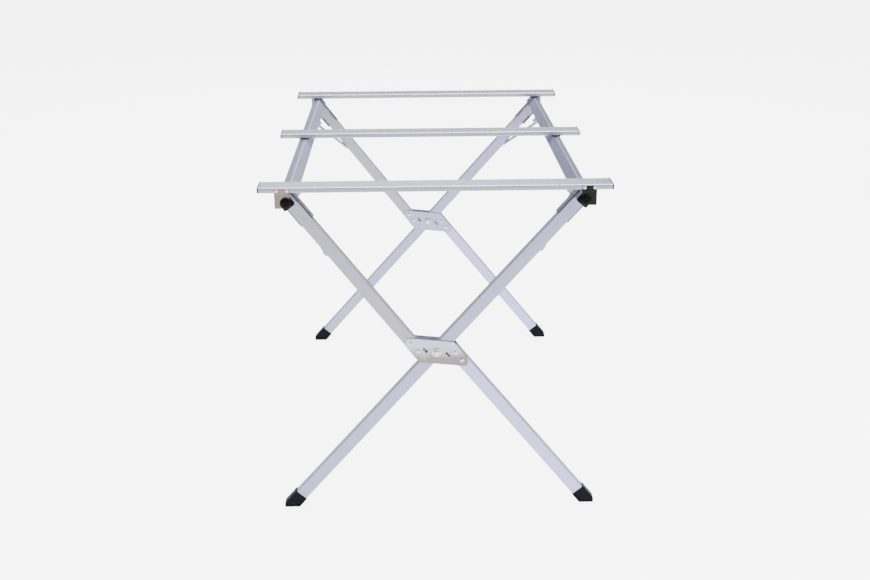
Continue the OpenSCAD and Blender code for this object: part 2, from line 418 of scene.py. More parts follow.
@dataclass(frozen=True)
class Moulded:
    """Black moulded plastic or rubber with a fine spark-eroded grain.

    Attributes:
        name: The material's name.
        colour: Its base colour.
        rough: Its middle roughness.
        grain: Grain strength.
    """

    name: str
    colour: Triple
    rough: float
    grain: float

    def build(self) -> bpy.types.Material:
        """Returns the finished material."""
        weave = Weave(self.name)
        grain = weave.noise(weave.coords, 1400.0, 3.0)
        scuff = weave.noise(weave.coords, 70.0, 5.0, 0.65)
        weave.shader.inputs["Specular IOR Level"].default_value = 0.1
        weave.tones(scuff, self.colour, shade(self.colour, 1.7))
        weave.sheen_range(scuff, self.rough - 0.06, self.rough + 0.08)
        weave.relief(grain, self.grain, 0.06 * MM)
        return weave.material


class Finishes:
    """Every finish on the table, built once and shared."""

    def __init__(self) -> None:
        """Builds the materials."""
        lay = LAYOUT
        # The leg and the two arms are one aluminium in three tones matched to how each bar is lit:
        # the lower arm lighter and bluer as painted light from the floor, the upper arm greyer.
        self.leg = DrawnAluminium(
            "satin_leg", (0.44, 0.42, 0.64), Along.LEG, lay.leg_lean
        ).build()
        self.upper = DrawnAluminium(
            "satin_upper_arm", (0.43, 0.41, 0.50), Along.LEG, -lay.arm_lean
        ).build()
        self.lower = DrawnAluminium(
            "satin_lower_arm_painted_light", (0.56, 0.57, 0.95), Along.LEG, -lay.lower_lean
        ).build()
        # The two side tubes are one aluminium in two tones: the left tube lighter as painted light,
        # the right tube darker as painted shade, for light falling from the right.
        self.lit_and_shaded_tubes = {
            Hand.LEFT: DrawnAluminium(
                "satin_left_tube_painted_light", (0.37, 0.375, 0.54), Along.TUBE
            ).build(),
            Hand.RIGHT: DrawnAluminium(
                "satin_right_tube_painted_shade", (0.21, 0.22, 0.34), Along.TUBE
            ).build(),
        }
        self.rail = DrawnAluminium(
            "satin_rail", (0.40, 0.395, 0.49), Along.RAIL, rough=0.27, metallic=0.75, fine=0.25
        ).build()
        # Painted highlight: a light, glossy tone on the rails' rounded top edges, standing in for
        # the line of light they catch.
        self.nose = DrawnAluminium(
            "painted_highlight_nose", (0.80, 0.80, 0.84), Along.RAIL, rough=0.22, metallic=0.6, fine=0.2
        ).build()
        # Painted shade: a darker tone on the narrow sides of the bars, standing in for the dark
        # outlines where the sides turn from the light.
        self.side = DrawnAluminium(
            "satin_bar_side_painted_shade", (0.31, 0.305, 0.40), Along.LEG, lay.leg_lean, 0.35
        ).build()
        # The front hub plates carry a painted reflection, dark below and light above.
        self.plate = PlatedSteel(
            "zinc_hub_plate_painted_reflection", (0.24, 0.20, 0.20), (0.58, 0.61, 0.72), 0.3, 0.85, 30.0, True
        ).build()
        # A lit copy of the hub plate finish: the rear plates get a flat, bluer tone painted for the
        # light at the back, in place of the front plates' painted reflection.
        self.rear_plate_painted_light = PlatedSteel(
            "zinc_rear_hub_plate_painted_light", (0.38, 0.40, 0.53), (0.47, 0.49, 0.64), 0.32, 0.7
        ).build()
        # Painted shade: a near-black tone on the rims of plates and slots and on the sides of
        # rivets and bolts, standing in for the dark outlines and rings of shade round them.
        self.rim = PlatedSteel(
            "painted_shade_edge", (0.05, 0.05, 0.055), (0.08, 0.08, 0.085), 0.45
        ).build()
        # The two front hook plates are one part in two tones: near-black as painted shade on the
        # right, warm tan as a painted reflection on the left.
        self.hook = PlatedSteel(
            "painted_shade_hook_plate", (0.008, 0.0085, 0.007), (0.015, 0.016, 0.013)
        ).build()
        self.painted_reflection_hook = PlatedSteel(
            "painted_reflection_hook_plate", (0.21, 0.175, 0.14), (0.33, 0.27, 0.225)
        ).build()
        self.strip = PlatedSteel(
            "zinc_strip", (0.36, 0.365, 0.43), (0.46, 0.465, 0.53)
        ).build()
        self.rivet = PlatedSteel(
            "bright_rivet", (0.72, 0.72, 0.70), (0.82, 0.82, 0.80), 0.2, 1.0
        ).build()
        self.channel = PlatedSteel(
            "channel_sheet", (0.20, 0.20, 0.23), (0.28, 0.28, 0.31), 0.4
        ).build()
        self.plastic = Moulded("black_plastic", (0.0012, 0.0012, 0.0016), 0.36, 0.12).build()
        # The dark end-cap plastic is the rail caps' own colour, and also paints the shade on the
        # channels' flange edges.
        self.cap = Moulded("dark_end_cap_and_painted_shade", (0.003, 0.003, 0.005), 0.42, 0.1).build()
        self.rubber = Moulded("boot_rubber", (0.002, 0.002, 0.004), 0.5, 0.2).build()


class Shape:
    """A mesh being made, which ends as one dressed piece on its body."""

    def __init__(self) -> None:
        """Starts with nothing in the mesh."""
        self.bm = bmesh.new()

    def ease(self, edges: list[bmesh.types.BMEdge], size: float, steps: int) -> None:
        """Rounds some edges.

        Args:
            edges: The edges to round.
            size: The rounding's radius in metres.
            steps: How many strips make it.
        """
        made = bmesh.ops.bevel(
            self.bm, geom=edges, offset=size, offset_type="OFFSET", affect="EDGES",
            segments=steps, profile=0.5, material=-1, clamp_overlap=True,
        )
        for face in made["faces"]:
            face.smooth = True

    def block(self, low: Triple, high: Triple) -> list[bmesh.types.BMVert]:
        """Adds a block between two corners and returns its vertices."""
        low, high = Vector(low), Vector(high)
        verts = bmesh.ops.create_cube(self.bm, size=1.0)["verts"]
        bmesh.ops.scale(self.bm, vec=high - low, verts=verts)
        bmesh.ops.translate(self.bm, vec=(low + high) / 2, verts=verts)
        return verts

    def bar(
        self, low: Triple, high: Triple, axis: int, radius: float, wall: float = 0.0,
        hollow: float = 0.0,
    ) -> list[bmesh.types.BMFace]:
        """Adds a round-cornered bar.

        Args:
            low: Its lowest corner.
            high: Its highest corner.
            axis: The axis it runs along, 0 to 2.
            radius: The radius of its long edges.
            wall: Its wall at the open ends, or 0 for closed ends.
            hollow: How far the open ends go in.

        Returns:
            Its two end faces, or the floors of its hollows.
        """
        verts = self.block(low, high)
        edges = {e for v in verts for e in v.link_edges}
        long = [e for e in edges if abs((e.verts[0].co - e.verts[1].co)[axis]) > 1e-6]
        before = set(self.bm.faces)
        self.ease(long, radius, 6)
        middle = (Vector(low) + Vector(high)) / 2
        reach = (high[axis] - low[axis]) / 2 - 1e-6
        ends = [
            f for f in self.bm.faces
            if abs(abs((f.calc_center_median() - middle)[axis]) - reach) < 1e-5
            and all(abs(c) < 0.05 or a == axis
                    for a, c in enumerate(f.calc_center_median() - middle))
            and (f in before or len(f.verts) > 8)
        ]
        if not wall:
            return ends
        floors = []
        for end in ends:
            bmesh.ops.inset_region(self.bm, faces=[end], thickness=wall, use_even_offset=True)
            floor = bmesh.ops.extrude_discrete_faces(self.bm, faces=[end])["faces"][0]
            inward = Vector((0, 0, 0))
            inward[axis] = math.copysign(hollow, (middle - floor.calc_center_median())[axis])
            bmesh.ops.translate(self.bm, vec=inward, verts=floor.verts)
            floors.append(floor)
        return floors

    def turned(
        self, profile: list[Pair], place: Matrix, steps: int = 40
    ) -> None:
        """Adds a turned piece that stands along its own +Z.

        Args:
            profile: Radius and height of each point, from axis to axis.
            place: Where the piece goes.
            steps: How many sides it has.
        """
        verts = [self.bm.verts.new((r, 0.0, h)) for r, h in profile]
        edges = [self.bm.edges.new(pair) for pair in zip(verts, verts[1:])]
        known = set(self.bm.verts) - set(verts)
        bmesh.ops.spin(
            self.bm, geom=verts + edges, cent=(0, 0, 0), axis=(0, 0, 1), dvec=(0, 0, 0),
            angle=math.tau, steps=steps, use_merge=True, use_duplicate=False,
        )
        made = [v for v in self.bm.verts if v not in known]
        bmesh.ops.remove_doubles(self.bm, verts=made, dist=1e-7)
        made = [v for v in self.bm.verts if v not in known]
        for face in {f for v in made for f in v.link_faces}:
            face.smooth = True
        bmesh.ops.transform(self.bm, matrix=place, verts=made)

    def plate(
        self, outline: list[Pair], y0: float, y1: float, corner: float = 0.0,
        edge: float = 0.0, holes: tuple[list[Pair], ...] = (), place: Matrix = Matrix(),
    ) -> None:
        """Adds a flat plate that stands in the XZ plane.

        Args:
            outline: Its corners, as x and z.
            y0: Its front face.
            y1: Its back face.
            corner: The rounding of its corners.
            edge: The easing of its rims.
            holes: The outlines of its holes.
            place: Where the plate goes.
        """
        known, before = set(self.bm.edges), set(self.bm.verts)
        rims = []
        for ring in (outline, *holes):
            verts = [self.bm.verts.new((x, y0, z)) for x, z in ring]
            rims += [self.bm.edges.new((verts[i - 1], v)) for i, v in enumerate(verts)]
        if holes:
            made = bmesh.ops.triangle_fill(
                self.bm, edges=rims, use_beauty=True, use_dissolve=False
            )
            faces = [g for g in made["geom"] if isinstance(g, bmesh.types.BMFace)]
        else:
            faces = [self.bm.faces.new(verts)]
        raised = bmesh.ops.extrude_face_region(self.bm, geom=faces)["geom"]
        verts = [g for g in raised if isinstance(g, bmesh.types.BMVert)]
        bmesh.ops.translate(self.bm, vec=(0, y1 - y0, 0), verts=verts)
        if corner:
            self.ease(self.sharp(known, lambda d: abs(d.y) > 0.9), corner, 5)
        if edge:
            self.ease(self.sharp(known, lambda d: abs(d.y) < 0.1), edge, 2)
        made = [v for v in self.bm.verts if v not in before]
        bmesh.ops.transform(self.bm, matrix=place, verts=made)

    def sharp(self, known: set[bmesh.types.BMEdge], way) -> list[bmesh.types.BMEdge]:
        """Gives the new sharp edges that run one way.

        Args:
            known: Edges that were there before.
            way: A test on an edge's direction.

        Returns:
            The edges.
        """
        found = []
        for e in self.bm.edges:
            along = (e.verts[1].co - e.verts[0].co).normalized()
            if e not in known and len(e.link_faces) == 2 and way(along):
                if e.calc_face_angle(0.0) > EASE_ABOVE:
                    found.append(e)
        return found

    def mark(self, way, index: int = 1) -> None:
        """Gives a later material to the faces whose normal passes a test."""
        bmesh.ops.recalc_face_normals(self.bm, faces=self.bm.faces)
        for face in self.bm.faces:
            if way(face.normal):
                face.material_index = index

    def move(self, place: Matrix) -> "Shape":
        """Moves everything made so far, and returns the shape."""
        bmesh.ops.transform(self.bm, matrix=place, verts=self.bm.verts)
        return self

    def finish(
        self, node: str, look: bpy.types.Material, *more: bpy.types.Material
    ) -> bpy.types.Object:
        """Makes the piece that stands for a node.

        Args:
            node: The node that it replaces.
            look: Its material.
            more: The materials of faces given a later one.

        Returns:
            The piece, riding on the node's body.
        """
        bmesh.ops.recalc_face_normals(self.bm, faces=self.bm.faces)
        for edge in self.bm.edges:
            edge.smooth = edge.calc_face_angle(0.0) < SMOOTH_BELOW
        mesh = bpy.data.meshes.new(node + "_formed")
        self.bm.to_mesh(mesh)
        self.bm.free()
        for each in (look, *more):
            mesh.materials.append(each)
        piece = bpy.data.objects.new(node + "_formed", mesh)
        bpy.context.collection.objects.link(piece)
        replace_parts(piece, node)
        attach(piece, body_for(node))
        LOG.info("%s: %d faces on %s", piece.name, len(mesh.polygons), body_for(node))
        return piece


def outward() -> Matrix:
    """Returns the turn that points a turned piece's +Z to the front."""
    return Matrix.Rotation(math.radians(90), 4, "X")


def ring(radius: float, x: float, z: float, steps: int = 20) -> list[Pair]:
    """Returns the outline of a round hole."""
    turns = [math.tau * i / steps for i in range(steps)]
    return [(x + radius * math.cos(t), z + radius * math.sin(t)) for t in turns]


def dome(radius: float, height: float, rim: float, steps: int = 6) -> list[Pair]:
    """Gives a domed head's profile, from its rim to its top.

    Args:
        radius: The head's radius.
        height: Its full height.
        rim: The height of its straight rim.
        steps: How many steps the dome has.

    Returns:
        Radius and height of each point.
    """
    points = []
    for i in range(steps + 1):
        t = math.pi / 2 * i / steps
        points.append((radius * math.cos(t), rim + (height - rim) * math.sin(t)))
    points[-1] = (0.0, height)
    return points


def dimpled(radius: float, height: float, hollow: float) -> list[Pair]:
    """Gives a rivet head's profile: a low dome with a round hollow in it.

    Args:
        radius: The head's radius.
        height: Its full height.
        hollow: The radius of its hollow.

    Returns:
        Radius and height of each point, from its rim to its axis.
    """
    crown = [p for p in dome(radius, height, 0.3 * MM, 8) if p[0] > hollow * 1.1]
    return crown + [(hollow, height * 0.8), (hollow * 0.9, height * 0.3), (0.0, height * 0.3)]


@dataclass
class SideTube:
    """A square side tube with its two end plugs and headed pins.

    Attributes:
        hand: The side it is on.
        corner: Radius of its long edges.
        wall: Its wall.
        plug: Thickness of a plug's collar.
        shank: Length of a plug inside the tube.
        head_r: Radius of a pin's head.
        head_h: Height of a pin's head.
    """

    hand: Hand
    looks: Finishes
    corner: float = 3.5 * MM
    wall: float = 1.5 * MM
    plug: float = 3 * MM
    shank: float = 18 * MM
    head_r: float = 11 * MM
    head_h: float = 6 * MM

    @property
    def axes(self) -> Matrix:
        """Returns the axes that the tube is turned to."""
        return LAYOUT.right() if self.hand is Hand.RIGHT else LAYOUT.left()

    def build(self) -> None:
        """Builds the tube, its plugs and its pins."""
        half = LAYOUT.bar / 2
        low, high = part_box(f"{self.hand.value}_tube")
        tube = Shape()
        tube.bar((-half, low.y, -half), (half, high.y, half), 1, self.corner, self.wall, 22 * MM)
        # The tube's finish carries the painted tone of its side: painted light on the left tube,
        # painted shade on the right one.
        tube.move(self.axes).finish(f"{self.hand.value}_tube", self.looks.lit_and_shaded_tubes[self.hand])
        for end in End:
            self.build_plug(end)
            self.build_pin(end)

    def build_plug(self, end: End) -> None:
        """Builds the plug in one end of the tube."""
        half = LAYOUT.bar / 2
        node = f"{self.hand.value}_{end.value}_plug"
        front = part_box(f"{self.hand.value}_front_plug")[0].y
        back = front + self.plug
        shape = Shape()
        ends = shape.bar((-half, front, -half), (half, back, half), 1, self.corner)
        inner = max(ends, key=lambda f: f.calc_center_median().y)
        bmesh.ops.inset_region(shape.bm, faces=[inner], thickness=self.wall, use_even_offset=True)
        tip = bmesh.ops.extrude_discrete_faces(shape.bm, faces=[inner])["faces"][0]
        bmesh.ops.translate(shape.bm, vec=(0, self.shank, 0), verts=tip.verts)
        rim = [
            e for e in shape.bm.edges
            if all(abs(v.co.y - front) < 1e-6 for v in e.verts) and len(e.link_faces) == 2
        ]
        shape.ease(rim, 0.7 * MM, 3)
        shape.move(end.turn() @ self.axes).finish(node, self.looks.plastic)

    def build_pin(self, end: End) -> None:
        """Builds the headed pin that the rail's hook holds."""
        node = f"{self.hand.value}_{end.value}_pin"
        low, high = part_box(f"{self.hand.value}_front_pin")
        seat = low.y + self.head_h
        head = dome(self.head_r, self.head_h, 2.6 * MM, 7)
        recess = [
            (2.9 * MM, head[-3][1]),
            (2.5 * MM, self.head_h - 1.9 * MM),
            (0.0, self.head_h - 2 * MM),
        ]
        domed = [(r, h) for r, h in head if r > 3.6 * MM]
        profile = [(0.0, seat - high.y), (LAYOUT.pin_r, seat - high.y), (LAYOUT.pin_r, 0.0)]
        profile += [(self.head_r - 0.4 * MM, 0.0)] + domed + recess
        shape = Shape()
        shape.turned(profile, Matrix.Translation((0, seat, 0)) @ outward())
        shape.move(end.turn() @ self.axes).finish(node, self.looks.plastic)


@dataclass
class LegPair:
    """The crossed legs at one end: bars, hub plates, rivets, bolt and boots.

    Attributes:
        end: The end they are at.
        corner: Radius of a bar's long edges.
        wall: A bar's wall.
        plate: Thickness of a hub plate.
        boot_wall: Thickness of a boot's wall.
        boot_len: Height of a boot along its leg.
        foot_gap: How far a bar ends above the floor, along itself.
        hub_gap: How far an arm ends from the scissor pivot.
        rivets: Distances of an arm's two rivets from the pivot.
        slot_at: The middle of a hub plate's first slot, in millimetres.
        slot_half: Half the slot's length and width, in millimetres.
        slot_turn: The slot's turn from level, in degrees.
        flange: Thickness of a channel's flanges.
        flange_foot: Lower end of a channel's flanges, below the pin.
        flange_top: Upper end of a channel's flanges, above the pin.
        web_foot: Lower end of a channel's web, below the pin.
    """

    end: End
    looks: Finishes
    corner: float = 2.5 * MM
    wall: float = 1.3 * MM
    plate: float = 2 * MM
    boot_wall: float = 1.6 * MM
    boot_len: float = 36 * MM
    foot_gap: float = 16 * MM
    hub_gap: float = 14 * MM
    rivets: Pair = (25 * MM, 46 * MM)
    slot_at: Pair = (15.3, 17.9)
    slot_half: Pair = (6, 2.5)
    slot_turn: float = 83
    flange: float = 1.5 * MM
    flange_foot: float = 60 * MM
    flange_top: float = 6 * MM
    web_foot: float = 34 * MM

    def node(self, name: str) -> str:
        """Returns the node's full name at this end."""
        return f"{self.end.value}_{name}"

    def build(self) -> None:
        """Builds the pair's pieces."""
        top = LAYOUT.bar / 2 + 0.5 * MM
        lay, turn = LAYOUT, self.end.turn()
        self.build_bar(
            "leg", lay.leg_d, top, lay.leg_len - self.foot_gap, turn @ lay.right(), self.looks.leg
        )
        self.build_bar(
            "upper_arm", lay.arm_d, top, lay.arm_s - self.hub_gap, turn @ lay.left(),
            self.looks.upper,
        )
        lower = turn @ lay.at_hub(lay.lower_lean) @ Matrix.Translation((-lay.arm_off, 0, 0))
        self.build_bar(
            "lower_arm", lay.arm_d, self.hub_gap, lay.lower_len - self.foot_gap, lower,
            self.looks.lower,
        )
        self.build_boot("left_boot", lay.leg_d, lay.leg_len, lay.leg_lean, turn @ lay.right())
        self.build_boot("right_boot", lay.arm_d, lay.lower_len, lay.lower_lean, lower)
        front = lay.leg_y - lay.arm_d / 2 - self.plate
        back = lay.leg_y + lay.arm_d / 2
        self.build_plate("hub_plate_outer", front)
        self.build_plate("hub_plate_inner", back)
        self.build_rivets(front, back + self.plate)
        self.build_bolt(front, back + self.plate)
        self.build_channel(Hand.RIGHT, lay.leg_d, turn @ lay.right())
        self.build_channel(Hand.LEFT, lay.arm_d, turn @ lay.left())

    def build_bar(
        self, name: str, depth: float, start: float, stop: float, place: Matrix,
        look: bpy.types.Material,
    ) -> None:
        """Builds one bar, from start to stop down its own axis."""
        half = LAYOUT.bar / 2
        y = LAYOUT.leg_y
        shape = Shape()
        shape.bar(
            (-half, y - depth / 2, -stop), (half, y + depth / 2, -start), 2,
            self.corner, self.wall, 30 * MM,
        )
        # Paints shade on the bar's narrow sides.
        shape.mark(lambda n: abs(n.x) > PAINTED_SHADE_SIDE_ON)
        shape.move(place).finish(self.node(name), look, self.looks.side)

    def build_boot(
        self, name: str, depth: float, length: float, lean: float, place: Matrix
    ) -> None:
        """Builds a boot, cut flat where it meets the floor.

        Args:
            name: The boot's name without its end.
            depth: The bar's depth.
            length: The bar's length to the floor.
            lean: The bar's lean.
            place: The bar's axes.
        """
        w = LAYOUT.bar / 2 + self.boot_wall
        c, s = math.cos(lean), math.sin(lean)
        toe = w / c - 8 * MM
        rise = (w * c - toe) / s
        outline = [
            (w / c, 0.0), (self.boot_len * s + w * c, self.boot_len * c - w * s),
            (self.boot_len * s - w * c, self.boot_len * c + w * s),
            (-toe, rise * c + w * s), (-toe, 0.0),
        ]
        y, half = LAYOUT.leg_y, depth / 2 + self.boot_wall
        shape = Shape()
        shape.plate(outline, y - half, y + half, 1.6 * MM, 0.9 * MM)
        shape.move(Matrix.Translation((0, 0, -length)) @ Matrix.Rotation(-lean, 4, "Y"))
        shape.move(place).finish(self.node(name), self.looks.rubber)

    def build_channel(self, hand: Hand, depth: float, place: Matrix) -> None:
        """Builds the sheet bracket that holds a leg's top to the tube.

        Args:
            hand: The tube that it is on.
            depth: The bar's depth.
            place: The bar's axes.
        """
        half, sheet = LAYOUT.bar / 2, self.flange
        foot, top = -self.flange_foot, self.flange_top
        y0, yb = LAYOUT.leg_y - depth / 2 + 0.6 * MM, LAYOUT.leg_y + depth / 2
        back = yb + 7 * MM
        outline = [
            (y0, foot), (yb + 3 * MM, foot), (yb + 6 * MM, foot + 1.5 * MM),
            (back, foot + 4.5 * MM), (back, top - 3 * MM), (back - 3 * MM, top),
            (y0 + 3 * MM, top), (y0, top - 3 * MM),
        ]
        shape = Shape()
        for x in (-half - sheet, half):
            swap = Matrix(((0, 1, 0, x), (1, 0, 0, 0), (0, 0, 1, 0), (0, 0, 0, 1)))
            shape.plate(outline, 0.0, sheet, 1.2 * MM, 0.2 * MM, (), swap)
        # Paints shade on the flanges' front and back edges: a near-black tone stands in for the
        # shadow gap beside the leg.
        shape.mark(lambda n: abs(n.y) > PAINTED_SHADE_SIDE_ON)
        flanges = set(shape.bm.faces)
        w = half + sheet
        start, stop = -self.web_foot, -half - 0.5 * MM
        web = [(-w, start), (w, start), (w, stop), (-w, stop)]
        shape.plate(web, yb, yb + 2 * MM, 0.0, 0.4 * MM)
        for face in set(shape.bm.faces) - flanges:
            face.material_index = 2
        node = f"{hand.value}_{self.end.value}_channel"
        shape.move(place).finish(node, self.looks.channel, self.looks.cap, self.looks.strip)

    def outline(self) -> list[Pair]:
        """Returns a hub plate's outline, round the pivot."""
        side = LAYOUT.arm_off + LAYOUT.bar / 2
        half = [(35.5 * MM, 57 * MM), (29 * MM, 61 * MM), (17.5 * MM, 51.5 * MM),
                (-side, -5 * MM), (-side, -47 * MM)]
        return half + [(-x, -z) for x, z in half]

    def build_plate(self, name: str, front: float) -> None:
        """Builds a hub plate with its two stop slots."""
        holes = []
        for half in (0, 1):
            middle = Vector((self.slot_at[0] * MM, self.slot_at[1] * MM))
            place = Matrix.Rotation(math.pi * half, 2) @ middle
            turn = Matrix.Rotation(math.radians(self.slot_turn), 2)
            a, b = self.slot_half
            corners = [(-a, -b), (a, -b), (a, b), (-a, b)]
            holes.append([tuple(place + turn @ Vector(c) * MM) for c in corners])
        shape = Shape()
        shape.plate(self.outline(), front, front + self.plate, 2 * MM, 0.35 * MM, tuple(holes))
        # Paints shade on the plate's rims and slot walls.
        shape.mark(lambda n: abs(n.y) < 0.97)
        place = self.end.turn() @ LAYOUT.at_hub(LAYOUT.arm_lean)
        # Front and rear plates get different painted tones of one plate finish.
        look = self.looks.plate if self.end is End.FRONT else self.looks.rear_plate_painted_light
        shape.move(place).finish(self.node(name), look, self.looks.rim)

    def build_rivets(self, front: float, back: float) -> None:
        """Builds the four rivets that hold the arms between the plates."""
        rise = 1.5 * MM
        head = dimpled(4.4 * MM, rise, 1.5 * MM)
        deep = front - back
        tail = [(r, deep - h) for r, h in reversed(dome(4.4 * MM, rise, 0.4 * MM))]
        profile = tail + [(2.2 * MM, deep), (2.2 * MM, 0.0)] + head
        shape = Shape()
        to_lower = Matrix.Rotation(LAYOUT.lower_lean - LAYOUT.arm_lean, 4, "Y")
        for s in self.rivets:
            for turn, x, z in ((Matrix(), LAYOUT.arm_off, s), (to_lower, -LAYOUT.arm_off, -s)):
                shape.turned(profile, turn @ Matrix.Translation((x, front, z)) @ outward(), 28)
        place = self.end.turn() @ LAYOUT.at_hub(LAYOUT.arm_lean)
        # Paints a ring of shade on the rivets' sides and hollows.
        shape.mark(lambda n: abs(n.y) < PAINTED_SHADE_RIM_ON)
        shape.move(place).finish(self.node("hub_rivets"), self.looks.rivet, self.looks.rim)

    def build_bolt(self, front: float, back: float) -> None:
        """Builds the scissor bolt with its domed head and hexagon nut."""
        deep = front - back
        washer = [(9.3 * MM, 0.0), (9.3 * MM, 0.9 * MM), (8.9 * MM, 1.2 * MM), (6.6 * MM, 1.2 * MM)]
        head = washer + [(6.2 * MM, 0.3 * MM)] + dome(6.0 * MM, 4.2 * MM, 1.6 * MM, 8)
        r = LAYOUT.pin_r
        profile = [
            (0.0, deep - 7 * MM), (r - 0.4 * MM, deep - 7 * MM),
            (r, deep - 6.6 * MM), (r, 0.0),
        ]
        shape = Shape()
        shape.turned(profile + head, Matrix.Translation((0, front, 0)) @ outward(), 48)
        shape.plate(ring(7.5 * MM, 0, 0, 6), back, back + 5 * MM, 0.0, 0.5 * MM)
        place = self.end.turn() @ LAYOUT.at_hub(LAYOUT.arm_lean)
        # Paints shade on the sides of the bolt, its washer and its nut.
        shape.mark(lambda n: abs(n.y) < PAINTED_SHADE_RIM_ON)
        shape.move(place).finish(self.node("hub_bolt"), self.looks.rivet, self.looks.rim)


@dataclass
class CrossRail:
    """A cross rail with its end caps, and hook plates where it has them.

    Attributes:
        place: The rail's name: front, middle or rear.
        nose: Radius of its long edges.
        cap: Thickness of an end cap.
        hook_t: Thickness of a hook plate.
        hook_out: How far a hook plate reaches outside its pin.
        hook_in: How far it reaches inside its pin.
    """

    place: str
    looks: Finishes
    nose: float = 2.6 * MM
    cap: float = 2.5 * MM
    hook_t: float = 1.6 * MM
    hook_out: float = 21.5 * MM
    hook_in: float = 7 * MM

    def build(self) -> None:
        """Builds the rail's pieces."""
        self.build_rail()
        self.build_caps()
        if self.place == "middle":
            return
        for hand in Hand:
            self.build_hook(hand)
        self.build_hook_rivets()

    @property
    def end(self) -> End:
        """Returns the end that this rail is at."""
        return End.REAR if self.place == "rear" else End.FRONT

    def build_rail(self) -> None:
        """Builds the rail: a flat tube with a fine groove low on each side."""
        node = f"{self.place}_rail"
        low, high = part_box(node)
        shape = Shape()
        shape.bar(low, high, 0, self.nose, 1.5 * MM, 20 * MM)
        level = low.z + 3.4 * MM
        for step in (-0.45 * MM, 0.0, 0.45 * MM):
            geom = shape.bm.verts[:] + shape.bm.edges[:] + shape.bm.faces[:]
            bmesh.ops.bisect_plane(
                shape.bm, geom=geom, plane_co=(0, 0, level + step), plane_no=(0, 0, 1)
            )
        middle = (low.y + high.y) / 2
        for vert in shape.bm.verts:
            side = vert.co.y - middle
            if abs(vert.co.z - level) < 1e-6 and abs(side) > (high.y - low.y) / 2 - 1e-5:
                vert.co.y -= math.copysign(0.15 * MM, side)
        # Gives the rounded top edges the painted highlight finish.
        shape.mark(lambda n: n.z > 0.4 and abs(n.y) > 0.3 and abs(n.x) < 0.1)
        shape.finish(node, self.looks.rail, self.looks.nose)

    def build_caps(self) -> None:
        """Builds both end caps, each with its shank inside the rail."""
        low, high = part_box(f"{self.place}_rail")
        shape = Shape()
        lip = 0.4 * MM
        for side in (-1.0, 1.0):
            x0 = high.x if side > 0 else low.x - self.cap
            ends = shape.bar(
                (x0, low.y - lip, low.z - lip), (x0 + self.cap, high.y + lip, high.z + lip),
                0, self.nose + lip / 2,
            )
            outer = max(ends, key=lambda f: side * f.calc_center_median().x)
            inner = min(ends, key=lambda f: side * f.calc_center_median().x)
            bmesh.ops.inset_region(shape.bm, faces=[inner], thickness=2 * MM, use_even_offset=True)
            tip = bmesh.ops.extrude_discrete_faces(shape.bm, faces=[inner])["faces"][0]
            bmesh.ops.translate(shape.bm, vec=(-side * 14 * MM, 0, 0), verts=tip.verts)
            shape.ease(list(outer.edges), 0.6 * MM, 3)
        shape.finish(f"{self.place}_rail_caps", self.looks.cap)

    def build_hook(self, hand: Hand) -> None:
        """Builds a hook plate, its slot open towards the table's middle."""
        low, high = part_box(f"{self.place}_{hand.value}_bracket")
        bottom, top = low.z, high.z
        z, r = LAYOUT.pin.z, LAYOUT.pin_r + 0.3 * MM
        out, inn = self.hook_out, -self.hook_in
        arc = [math.radians(90 - 15 * i) for i in range(13)]
        notch = [(r * math.cos(t), z + r * math.sin(t)) for t in arc]
        outline = [(inn, z + r)] + notch + [(inn, z - r), (inn, bottom + 3.5 * MM),
                   (inn + 3.5 * MM, bottom), (out, bottom), (out, top), (inn, top)]
        outline = [(LAYOUT.pin.x + x, zz) for x, zz in outline]
        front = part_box("front_left_bracket")[0].y
        shape = Shape()
        shape.plate(outline, front, front + self.hook_t, 1.1 * MM, 0.3 * MM)
        # The front-left plate gets the tan painted reflection, the front-right one the near-black
        # painted shade.
        tan = hand is Hand.LEFT and self.end is End.FRONT
        look = self.looks.painted_reflection_hook if tan else self.looks.hook
        if self.end is End.REAR:
            look = self.looks.strip
        node = f"{self.place}_{hand.value}_bracket"
        shape.move(self.end.turn() @ hand.turn()).finish(node, look)

    def build_hook_rivets(self) -> None:
        """Builds the four rivets that hold the hook plates to the rail."""
        low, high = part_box(f"{self.place}_rail")
        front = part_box("front_left_bracket")[0].y
        z = (low.z + high.z) / 2
        head = dimpled(3.6 * MM, 1.6 * MM, 1.2 * MM)
        profile = [(0.0, -self.hook_t), (2 * MM, -self.hook_t), (2 * MM, 0.0)] + head
        shape = Shape()
        outer = LAYOUT.pin.x + self.hook_out - 4 * MM
        inner = LAYOUT.pin.x - self.hook_in + 4.4 * MM
        for side in (-1.0, 1.0):
            for x in (outer, inner):
                shape.turned(profile, Matrix.Translation((side * x, front, z)) @ outward(), 28)
        # Paints a ring of shade on the rivets' sides and hollows.
        shape.mark(lambda n: abs(n.y) < PAINTED_SHADE_RIM_ON)
        node = f"{self.place}_bracket_rivets"
        shape.move(self.end.turn()).finish(node, self.looks.rivet, self.looks.rim)


@dataclass
class SmallParts:
    """The formed parts whose shape needs no more than a finish."""

    looks: Finishes

    def build(self) -> None:
        """Gives each carried-over node its finish."""
        done = {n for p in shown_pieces() for n in p.get("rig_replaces", [])}
        for name, part in frame["nodes"].items():
            if name in done:
                continue
            part.data.materials.clear()
            part.data.materials.append(self.look_of(name))
            LOG.info("%s keeps its shape, finish %s", name, self.look_of(name).name)

    def look_of(self, name: str) -> bpy.types.Material:
        """Returns the finish for a node by its name."""
        for word, look in (
            ("brace_rivets", self.looks.rivet), ("brace", self.looks.strip),
            ("lug", self.looks.strip), ("pads", self.looks.rubber),
        ):
            if word in name:
                return look
        return self.looks.plastic


